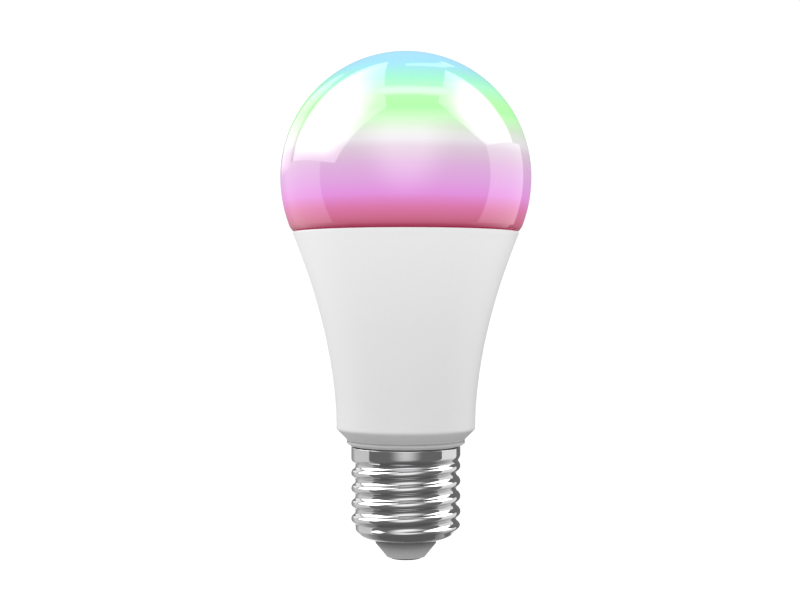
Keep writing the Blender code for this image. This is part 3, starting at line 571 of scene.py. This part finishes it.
def dressBoards():
    for name, finish in boardFinishes.items():
        material, tree, shader, place = newMaterial(name, {"ior": 1.55})
        split = addNode(tree, "ShaderNodeSeparateXYZ", {"Vector": place.outputs["Object"]})
        x, y, z = (split.outputs[axis] for axis in "XYZ")
        if finish["round"]:
            flat = addNode(tree, "ShaderNodeCombineXYZ", {"X": x, "Y": y})
            up = addNode(tree, "ShaderNodeVectorMath", {
                0: flat.outputs[0]}, operation="LENGTH").outputs["Value"]
            turn = addNode(tree, "ShaderNodeMath", {0: y, 1: x}, operation="ARCTAN2")
            # a degree round the board stands in for a millimetre along a row
            across = addNode(tree, "ShaderNodeMath", {
                0: turn.outputs[0], 1: math.degrees(1.0) * millimetre}, operation="MULTIPLY").outputs[0]
        else:
            across, up = x, z
        sheet = addNode(tree, "ShaderNodeCombineXYZ", {"X": across, "Y": up})
        tracks = None
        for wide, tall in finish["cellsMm"]:
            cell = addNode(tree, "ShaderNodeVectorMath", {
                0: sheet.outputs[0], 1: (wide * millimetre, tall * millimetre, 1.0)}, operation="SNAP")
            chance = addNode(tree, "ShaderNodeTexWhiteNoise", {"Vector": cell.outputs["Vector"]})
            kept = addNode(tree, "ShaderNodeMath", {
                0: chance.outputs["Value"], 1: finish["blankShare"]}, operation="GREATER_THAN")
            narrow, half = (up, tall / 2.0) if tall < wide else (across, wide / 2.0)
            inCell = addNode(tree, "ShaderNodeMath", {0: narrow, 1: half * millimetre}, operation="PINGPONG")
            middle = addNode(tree, "ShaderNodeMath", {
                0: inCell.outputs[0], 1: half * millimetre * (1.0 - finish["lineShare"])},
                operation="GREATER_THAN")
            run = product(tree, [kept.outputs[0], middle.outputs[0]])
            tracks = run if tracks is None else addNode(
                tree, "ShaderNodeMath", {0: tracks, 1: run}, operation="MAXIMUM").outputs[0]
        weave = addNode(tree, "ShaderNodeTexNoise", {
            "Vector": place.outputs["Object"], "Scale": perMillimetre(finish["grainMm"]), "Detail": 3.0})
        mask = addNode(tree, "ShaderNodeValToRGB", {"Fac": weave.outputs["Fac"]})
        low, high = grainRange
        setStops(mask, [(low, linearColour(finish["dark"])), (high, linearColour(finish["light"]))])
        shown = addNode(tree, "ShaderNodeMixRGB", {
            "Fac": tracks, "Color1": mask.outputs["Color"], "Color2": linearColour(finish["line"])})
        gloss = addNode(tree, "ShaderNodeMapRange", {
            "Value": weave.outputs["Fac"], "From Min": low, "From Max": high,
            "To Min": finish["gloss"][0], "To Max": finish["gloss"][1]})
        relief = addNode(tree, "ShaderNodeBump", {
            "Height": tracks, "Distance": finish["reliefMm"] * millimetre}, invert=finish["sunk"])
        tree.links.new(shown.outputs["Color"], shader.inputs["Base Color"])
        tree.links.new(gloss.outputs["Result"], shader.inputs["Roughness"])
        tree.links.new(relief.outputs["Normal"], shader.inputs["Normal"])
        giveFinish(finish["pieces"], material)


ledShape = {"packageRim": 0.95, "facingUp": 0.3, "powderMm": 0.15, "gloss": (0.3, 0.6)}
ledFinishes = {
    "warm_phosphor_gel": {"pieces": ["warm_led_%d" % i for i in range(1, 7)],
                          "dark": "#dd9a1c", "light": "#f2b935", "package": "#efeee8"},
    "cool_phosphor_gel": {"pieces": ["cool_led_%d" % i for i in range(1, 7)],
                          "dark": "#dcc43a", "light": "#f0e063", "package": "#efeee8"},
}
colourLed = {
    "pieces": ["colour_led_%d" % i for i in range(1, 5)], "lens": "#dfe4e4", "package": "#f0f0ec",
    "lensR": 0.4, "cloudMm": 0.8, "gloss": (0.15, 0.35),
    # the three dies: centre across the package from 0 to 1, and colour; dieR is their edge, soft to solid
    "dieR": (0.1, 0.06),
    "dies": [((0.5, 0.68), "#c8443c"), ((0.36, 0.4), "#3fae5a"), ((0.64, 0.4), "#3d6fd0")],
}


def dressLeds():
    for name, finish in ledFinishes.items():
        # silicone gel with phosphor powder in a white package: grainy matt yellow window
        material, tree, shader, place = newMaterial(name, {"ior": 1.42})
        powder = addNode(tree, "ShaderNodeTexNoise", {
            "Vector": place.outputs["Object"], "Scale": perMillimetre(ledShape["powderMm"]), "Detail": 3.0})
        gel = addNode(tree, "ShaderNodeValToRGB", {"Fac": powder.outputs["Fac"]})
        setStops(gel, [(0.35, linearColour(finish["dark"])), (0.65, linearColour(finish["light"]))])
        height = addNode(tree, "ShaderNodeSeparateXYZ", {"Vector": place.outputs["Generated"]})
        facing = addNode(tree, "ShaderNodeSeparateXYZ", {"Vector": place.outputs["Normal"]})
        # the window is the floor of the dish, just under the package's rim
        sunk = addNode(tree, "ShaderNodeMath", {
            0: height.outputs["Z"], 1: ledShape["packageRim"]}, operation="LESS_THAN")
        up = addNode(tree, "ShaderNodeMath", {
            0: facing.outputs["Z"], 1: ledShape["facingUp"]}, operation="GREATER_THAN")
        window = product(tree, [sunk.outputs[0], up.outputs[0]])
        shown = addNode(tree, "ShaderNodeMixRGB", {
            "Fac": window, "Color1": linearColour(finish["package"]), "Color2": gel.outputs["Color"]})
        gloss = addNode(tree, "ShaderNodeMapRange", {
            "Value": powder.outputs["Fac"], "To Min": ledShape["gloss"][0], "To Max": ledShape["gloss"][1]})
        tree.links.new(shown.outputs["Color"], shader.inputs["Base Color"])
        tree.links.new(gloss.outputs["Result"], shader.inputs["Roughness"])
        giveFinish(finish["pieces"], material)
    # clear epoxy lens over three dies in a white cup: pale wet window with coloured points
    lens = {"ior": 1.53, "coat": 1.0, "coatRoughness": 0.05}
    material, tree, shader, place = newMaterial("clear_epoxy_lens", lens)
    flat = addNode(tree, "ShaderNodeMapping", {
        "Vector": place.outputs["Generated"], "Scale": (1.0, 1.0, 0.0)})
    clouds = addNode(tree, "ShaderNodeTexNoise", {
        "Vector": place.outputs["Object"], "Scale": perMillimetre(colourLed["cloudMm"]), "Detail": 2.0})
    rim = addNode(tree, "ShaderNodeVectorMath", {
        0: flat.outputs["Vector"], 1: (0.5, 0.5, 0.0)}, operation="DISTANCE")
    inside = addNode(tree, "ShaderNodeMath", {
        0: rim.outputs["Value"], 1: colourLed["lensR"]}, operation="LESS_THAN")
    shown = addNode(tree, "ShaderNodeMixRGB", {
        "Fac": inside.outputs[0], "Color1": linearColour(colourLed["package"]),
        "Color2": linearColour(colourLed["lens"])}).outputs["Color"]
    outer, solid = colourLed["dieR"]
    for (across, up), hexText in colourLed["dies"]:
        away = addNode(tree, "ShaderNodeVectorMath", {
            0: flat.outputs["Vector"], 1: (across, up, 0.0)}, operation="DISTANCE")
        die = addNode(tree, "ShaderNodeMapRange", {
            "Value": away.outputs["Value"], "From Min": outer, "From Max": solid})
        shown = addNode(tree, "ShaderNodeMixRGB", {
            "Fac": die.outputs["Result"], "Color1": shown, "Color2": linearColour(hexText)}).outputs["Color"]
    gloss = addNode(tree, "ShaderNodeMapRange", {
        "Value": clouds.outputs["Fac"], "To Min": colourLed["gloss"][0], "To Max": colourLed["gloss"][1]})
    tree.links.new(shown, shader.inputs["Base Color"])
    tree.links.new(gloss.outputs["Result"], shader.inputs["Roughness"])
    giveFinish(colourLed["pieces"], material)


sleeveFinish = {
    "pieces": ["input_capacitor", "output_capacitor"], "sleeve": ("#121722", "#1d2433"), "stripe": "#b9bec6",
    "stripeHalfAngle": 0.38, "top": "#c3c6c9", "topShare": 0.97, "grainMm": 0.7, "gloss": (0.22, 0.42),
    "reliefMm": 0.015,
}
lacquerFinish = {
    "pieces": ["fuse_resistor"], "body": ("#3f7f5d", "#4f9670"), "grainMm": 0.8, "gloss": (0.4, 0.65),
    # generic value bands: share of the height where each starts, and its colour
    "bands": [(0.2, "#6b3d1e"), (0.32, None), (0.42, "#161616"), (0.54, None), (0.64, "#b88a2a"),
              (0.74, None)],
}


def dressCapacitors():
    # shrunk PVC sleeve over an aluminium can: dark satin side, pale polarity stripe, bare metal end
    finish = sleeveFinish
    material, tree, shader, place = newMaterial("shrunk_pvc_sleeve", {"ior": 1.53})
    centred = addNode(tree, "ShaderNodeVectorMath", {
        0: place.outputs["Generated"], 1: (0.5, 0.5, 0.0)}, operation="SUBTRACT")
    split = addNode(tree, "ShaderNodeSeparateXYZ", {"Vector": centred.outputs["Vector"]})
    x, y, z = (split.outputs[axis] for axis in "XYZ")
    turn = addNode(tree, "ShaderNodeMath", {0: y, 1: x}, operation="ARCTAN2")
    away = addNode(tree, "ShaderNodeMath", {0: turn.outputs[0]}, operation="ABSOLUTE")
    stripe = addNode(tree, "ShaderNodeMath", {
        0: away.outputs[0], 1: finish["stripeHalfAngle"]}, operation="LESS_THAN")
    grain = addNode(tree, "ShaderNodeTexNoise", {
        "Vector": place.outputs["Object"], "Scale": perMillimetre(finish["grainMm"]), "Detail": 3.0})
    sleeve = addNode(tree, "ShaderNodeValToRGB", {"Fac": grain.outputs["Fac"]})
    setStops(sleeve, [(at, linearColour(hexText)) for at, hexText in zip(grainRange, finish["sleeve"])])
    side = addNode(tree, "ShaderNodeMixRGB", {
        "Fac": stripe.outputs[0], "Color1": sleeve.outputs["Color"],
        "Color2": linearColour(finish["stripe"])})
    end = addNode(tree, "ShaderNodeMath", {0: z, 1: finish["topShare"]}, operation="GREATER_THAN")
    shown = addNode(tree, "ShaderNodeMixRGB", {
        "Fac": end.outputs[0], "Color1": side.outputs["Color"], "Color2": linearColour(finish["top"])})
    gloss = addNode(tree, "ShaderNodeMapRange", {
        "Value": grain.outputs["Fac"], "To Min": finish["gloss"][0], "To Max": finish["gloss"][1]})
    relief = addNode(tree, "ShaderNodeBump", {
        "Height": grain.outputs["Fac"], "Distance": finish["reliefMm"] * millimetre})
    tree.links.new(shown.outputs["Color"], shader.inputs["Base Color"])
    tree.links.new(end.outputs[0], shader.inputs["Metallic"])
    tree.links.new(gloss.outputs["Result"], shader.inputs["Roughness"])
    tree.links.new(relief.outputs["Normal"], shader.inputs["Normal"])
    giveFinish(finish["pieces"], material)


def dressResistor():
    # flameproof lacquer over a wound rod: powdery green body with painted value bands
    finish = lacquerFinish
    material, tree, shader, place = newMaterial("flameproof_lacquer", {"ior": 1.5})
    grain = addNode(tree, "ShaderNodeTexNoise", {
        "Vector": place.outputs["Object"], "Scale": perMillimetre(finish["grainMm"]), "Detail": 4.0})
    body = addNode(tree, "ShaderNodeValToRGB", {"Fac": grain.outputs["Fac"]})
    setStops(body, [(at, linearColour(hexText)) for at, hexText in zip(grainRange, finish["body"])])
    split = addNode(tree, "ShaderNodeSeparateXYZ", {"Vector": place.outputs["Generated"]})
    painted = addNode(tree, "ShaderNodeValToRGB", {"Fac": split.outputs["Z"]})
    painted.color_ramp.interpolation = "CONSTANT"
    bare = (0.0, 0.0, 0.0, 0.0)
    setStops(painted, [(0.0, bare)] + [
        (start, linearColour(hexText) if hexText else bare) for start, hexText in finish["bands"]])
    shown = addNode(tree, "ShaderNodeMixRGB", {
        "Fac": painted.outputs["Alpha"], "Color1": body.outputs["Color"],
        "Color2": painted.outputs["Color"]})
    gloss = addNode(tree, "ShaderNodeMapRange", {
        "Value": grain.outputs["Fac"], "To Min": finish["gloss"][0], "To Max": finish["gloss"][1]})
    tree.links.new(shown.outputs["Color"], shader.inputs["Base Color"])
    tree.links.new(gloss.outputs["Result"], shader.inputs["Roughness"])
    giveFinish(finish["pieces"], material)


# Studio

cameraSet = {"place": (-1.4, -372.7, 61.77), "lens": 70.0, "sensor": 36.0, "clip": (0.01, 50.0)}
floorSet = {"half": 6.0, "z": -1.2, "grey": 0.9}  # far enough down that the cap can be looked at from below
studio = {
    "darkLevel": 0.19, "underLevel": 0.75, "underZ": (-0.85, -0.6), "backdrop": 1.1,
    # what a gloss surface mirrors. Each panel is bright where a direction is inside all its edges:
    # (normal), offset, softness of the edge, width of the fade inside it
    "panels": {
        "leftWall": {"edge": 0.3, "core": 0.8, "edges": [
            ((-1, 0, 0), 0.0, 0.01, 0), ((0, 1, 0), -0.11, 0.012, 0), ((0, -1, 0), -0.99, 0.01, 0.35),
            ((-0.1811, 0.0233, -0.9832), 0.0, 0.006, 0), ((0, 0, 1), -0.84, 0.04, 0.5)]},
        "rightWall": {"edge": 0.35, "core": 1.05, "edges": [
            ((1, 0, 0), 0.0, 0.01, 0), ((0, 1, 0), -0.149, 0.012, 0), ((0, -1, 0), -0.69, 0.01, 0),
            ((0.3532, -0.007, -0.9355), 0.0, 0.006, 0), ((0, 0, 1), -0.80, 0.04, 0.6)]},
        "leftSoftbox": {"edge": 1.6, "core": 5.0, "edges": [
            ((-0.9688, 0.1145, -0.2198), 0.0, 0.006, 0.4), ((0.1811, -0.0233, 0.9832), 0.0, 0.006, 0.2),
            ((-0.4999, 0.683, 0.5325), 0.28, 0.006, 0.3), ((0, -1, 0), -0.59, 0.01, 0.1)]},
        "rightSoftbox": {"edge": 1.6, "core": 5.0, "edges": [
            ((0.9229, 0.0846, -0.3757), 0.0, 0.006, 0.3), ((0.6242, 0.2923, 0.7245), 0.7964, 0.006, 0.12),
            ((-0.3532, 0.007, 0.9355), 0.0, 0.006, 0.05), ((0, -1, 0), -0.51, 0.01, 0.1)]},
        "overheadStrip": {"edge": 0.0, "core": 2.4, "edges": [
            ((0, 0.4445, 0.8958), 0.725, 0.01, 0.065), ((0, -0.4445, -0.8958), -0.885, 0.01, 0.065),
            ((0, 0, 1), 0.72, 0.1, 0)]},
        "leftEdge": {"edge": 0.9, "core": 1.1, "edges": [
            ((-1, 0, 0), 0.32, 0.03, 0), ((0, 1, 0), 0.645, 0.02, 0.1), ((0, -1, 0), -0.95, 0.02, 0),
            ((0, 0, -1), -0.62, 0.05, 0), ((0, 0, 1), 0.08, 0.05, 0)]},
        "lowBack": {"edge": 1.0, "core": 1.0, "edges": [
            ((0, 1, 0), 0.84, 0.03, 0), ((0, 0, 1), -0.52, 0.03, 0), ((0, 0, -1), 0.22, 0.04, 0),
            ((1, 0, 0), -0.25, 0.05, 0), ((-1, 0, 0), -0.25, 0.05, 0)]},
        "backBar": {"edge": 1.0, "core": 1.0, "edges": [
            ((-0.06, 0.6991, 0.7125), 0.94, 0.006, 0), ((0.06, -0.6991, -0.7125), -0.968, 0.006, 0),
            ((1, 0, 0), 0.0, 0.01, 0), ((-1, 0, 0), -0.26, 0.01, 0), ((0, 0, 1), 0.62, 0.01, 0)]},
    },
    # the big front window: an oval round the direction (0, z), as wide and as tall as the two reaches
    "glow": {"z": 0.46, "across": 0.76, "down": 0.92, "soft": 0.74, "top": (0.885, 0.62), "ahead": 0.1,
             "level": 1.15},
    # soft light for matt surfaces: brighter level with the lamp and just below it, dark underneath
    "fill": {"base": 0.85, "x": -0.02, "y": -0.16, "belt": 0.4, "beltZ": (0.15, -0.35),
             "under": 0.42, "underZ": (-0.8, -0.45)},
    # high lights to either side reach upright walls and miss those that lean out
    "sky": {"towards": (0.55, 0.4, 0.73), "from": 0.5, "left": 1.15, "right": 0.45, "blend": 0.3},
}


def within(tree, direction, normal, offset, start, end):
    # 1 where a direction is more than `end` inside an edge, 0 where it is less than `start`
    along = addNode(tree, "ShaderNodeVectorMath", {0: direction, 1: normal}, operation="DOT_PRODUCT")
    return addNode(tree, "ShaderNodeMapRange", {
        "Value": along.outputs["Value"], "From Min": offset + start, "From Max": offset + end},
        interpolation_type="SMOOTHSTEP").outputs["Result"]


def makeStudio():
    world = bpy.data.worlds.new("studio")
    scene.world = world
    world.use_nodes = True
    world.cycles.sampling_method = "NONE"
    tree = world.node_tree
    tree.nodes.clear()
    direction = addNode(tree, "ShaderNodeTexCoord").outputs["Generated"]
    split = addNode(tree, "ShaderNodeSeparateXYZ", {"Vector": direction})
    x, y, z = (split.outputs[axis] for axis in "XYZ")
    glow = studio["glow"]
    across = addNode(tree, "ShaderNodeMath", {0: x, 1: glow["across"]}, operation="DIVIDE").outputs[0]
    along = addNode(tree, "ShaderNodeMapRange", {
        "Value": z, "From Min": glow["z"], "From Max": glow["z"] - glow["down"]},
        clamp=False).outputs["Result"]
    squares = [addNode(tree, "ShaderNodeMath", {0: side, 1: side}, operation="MULTIPLY").outputs[0]
               for side in (across, along)]
    spread = addNode(tree, "ShaderNodeMath", {0: squares[0], 1: squares[1]}, operation="ADD").outputs[0]
    spread = addNode(tree, "ShaderNodeMath", {0: spread}, operation="SQRT").outputs[0]
    oval = addNode(tree, "ShaderNodeMapRange", {
        "Value": spread, "From Min": 1.0, "From Max": 1.0 - glow["soft"]}, interpolation_type="SMOOTHSTEP")
    ahead = addNode(tree, "ShaderNodeMapRange", {
        "Value": y, "From Min": glow["ahead"], "From Max": -glow["ahead"]})
    below = addNode(tree, "ShaderNodeMapRange", {
        "Value": z, "From Min": glow["top"][0], "From Max": glow["top"][1]},
        interpolation_type="SMOOTHSTEP")
    window = product(tree, [node.outputs["Result"] for node in (oval, ahead, below)])
    total = addNode(tree, "ShaderNodeMath", {
        0: window, 1: glow["level"], 2: studio["darkLevel"]}, operation="MULTIPLY_ADD").outputs[0]
    for panel in studio["panels"].values():
        edges = panel["edges"]
        crisp = product(tree, [within(tree, direction, n, at, -soft, soft) for n, at, soft, fade in edges])
        fades = [within(tree, direction, n, at, 0.0, fade) for n, at, soft, fade in edges if fade]
        strength = panel["core"]
        if fades:
            strength = addNode(tree, "ShaderNodeMapRange", {
                "Value": product(tree, fades), "To Min": panel["edge"],
                "To Max": panel["core"]}).outputs["Result"]
        lit = addNode(tree, "ShaderNodeMath", {0: crisp, 1: strength}, operation="MULTIPLY").outputs[0]
        total = addNode(tree, "ShaderNodeMath", {0: total, 1: lit}, operation="MAXIMUM").outputs[0]
    under = addNode(tree, "ShaderNodeMapRange", {
        "Value": z, "From Min": studio["underZ"][0], "From Max": studio["underZ"][1],
        "To Min": studio["underLevel"]}, interpolation_type="SMOOTHSTEP")
    total = product(tree, [total, under.outputs["Result"]])
    soft = studio["fill"]
    fill = soft["base"]
    for axis, tilt in ((x, soft["x"]), (y, soft["y"])):
        fill = addNode(tree, "ShaderNodeMath", {
            0: axis, 1: tilt, 2: fill}, operation="MULTIPLY_ADD").outputs[0]
    belt, above = (addNode(tree, "ShaderNodeMapRange", {
        "Value": z, "From Min": start, "From Max": end}, interpolation_type="SMOOTHSTEP").outputs["Result"]
        for start, end in (soft["beltZ"], soft["underZ"]))
    lift = addNode(tree, "ShaderNodeMath", {
        0: belt, 1: soft["belt"], 2: fill}, operation="MULTIPLY_ADD").outputs[0]
    fill = addNode(tree, "ShaderNodeMapRange", {
        "Value": above, "To Min": soft["under"], "To Max": lift}).outputs["Result"]
    sky = studio["sky"]
    mirrored = addNode(tree, "ShaderNodeVectorMath", {0: direction}, operation="ABSOLUTE")
    side = addNode(tree, "ShaderNodeSeparateXYZ", {"Vector": mirrored.outputs["Vector"]}).outputs["X"]
    folded = addNode(tree, "ShaderNodeCombineXYZ", {"X": side, "Y": y, "Z": z})
    aimed = within(tree, folded.outputs["Vector"], sky["towards"], 0.0, sky["from"], 1.0)
    strength = addNode(tree, "ShaderNodeMapRange", {
        "Value": x, "From Min": -sky["blend"], "From Max": sky["blend"],
        "To Min": sky["left"], "To Max": sky["right"]})
    fill = addNode(tree, "ShaderNodeMath", {
        0: aimed, 1: strength.outputs["Result"], 2: fill}, operation="MULTIPLY_ADD").outputs[0]
    rays = addNode(tree, "ShaderNodeLightPath")
    softLight = addNode(tree, "ShaderNodeBackground", {"Strength": fill})
    panels = addNode(tree, "ShaderNodeBackground", {"Strength": total})
    backdrop = addNode(tree, "ShaderNodeBackground", {"Strength": studio["backdrop"]})
    for shader in (softLight, panels, backdrop):
        shader.inputs["Color"].default_value = (1.0, 1.0, 1.0, 1.0)
    seen = addNode(tree, "ShaderNodeMixShader", {
        0: rays.outputs["Is Glossy Ray"], 1: softLight.outputs[0], 2: panels.outputs[0]})
    seen = addNode(tree, "ShaderNodeMixShader", {
        0: rays.outputs["Is Camera Ray"], 1: seen.outputs[0], 2: backdrop.outputs[0]})
    addNode(tree, "ShaderNodeOutputWorld", {"Surface": seen.outputs[0]})


def makeFloor():
    mesh = bpy.data.meshes.new("floor")
    half, z = floorSet["half"], floorSet["z"]
    corners = [(-half, -half, z), (half, -half, z), (half, half, z), (-half, half, z)]
    mesh.from_pydata(corners, [], [(0, 1, 2, 3)])
    floor = bpy.data.objects.new("floor", mesh)
    scene.collection.objects.link(floor)
    material = bpy.data.materials.new("pale_floor")
    material.use_nodes = True
    shader = material.node_tree.nodes["Principled BSDF"]
    shader.inputs["Base Color"].default_value = (*[floorSet["grey"]] * 3, 1.0)
    shader.inputs["Emission Color"].default_value = (1.0, 1.0, 1.0, 1.0)
    shader.inputs["Emission Strength"].default_value = 1.0
    mesh.materials.append(material)
    floor.visible_diffuse = False
    floor.visible_glossy = False


def makeCamera():
    data = bpy.data.cameras.new("camera")
    data.lens = cameraSet["lens"]
    data.sensor_width = cameraSet["sensor"]
    data.clip_start, data.clip_end = cameraSet["clip"]
    camera = bpy.data.objects.new("camera", data)
    camera.location = [c * millimetre for c in cameraSet["place"]]
    camera.rotation_euler = (math.radians(90.0), 0.0, 0.0)
    scene.collection.objects.link(camera)
    scene.camera = camera


makeCamera()
makeStudio()
makeFloor()
scene.view_settings.view_transform = "Standard"
print("studio ready")
makeHousing()
makeGlobe()
makeScrewShell()
makeCone()
makeContact()
print("outer pieces made")
dressMoulded()
dressBanded()
dressBoards()
dressLeds()
dressCapacitors()
dressResistor()
print("inside pieces finished")
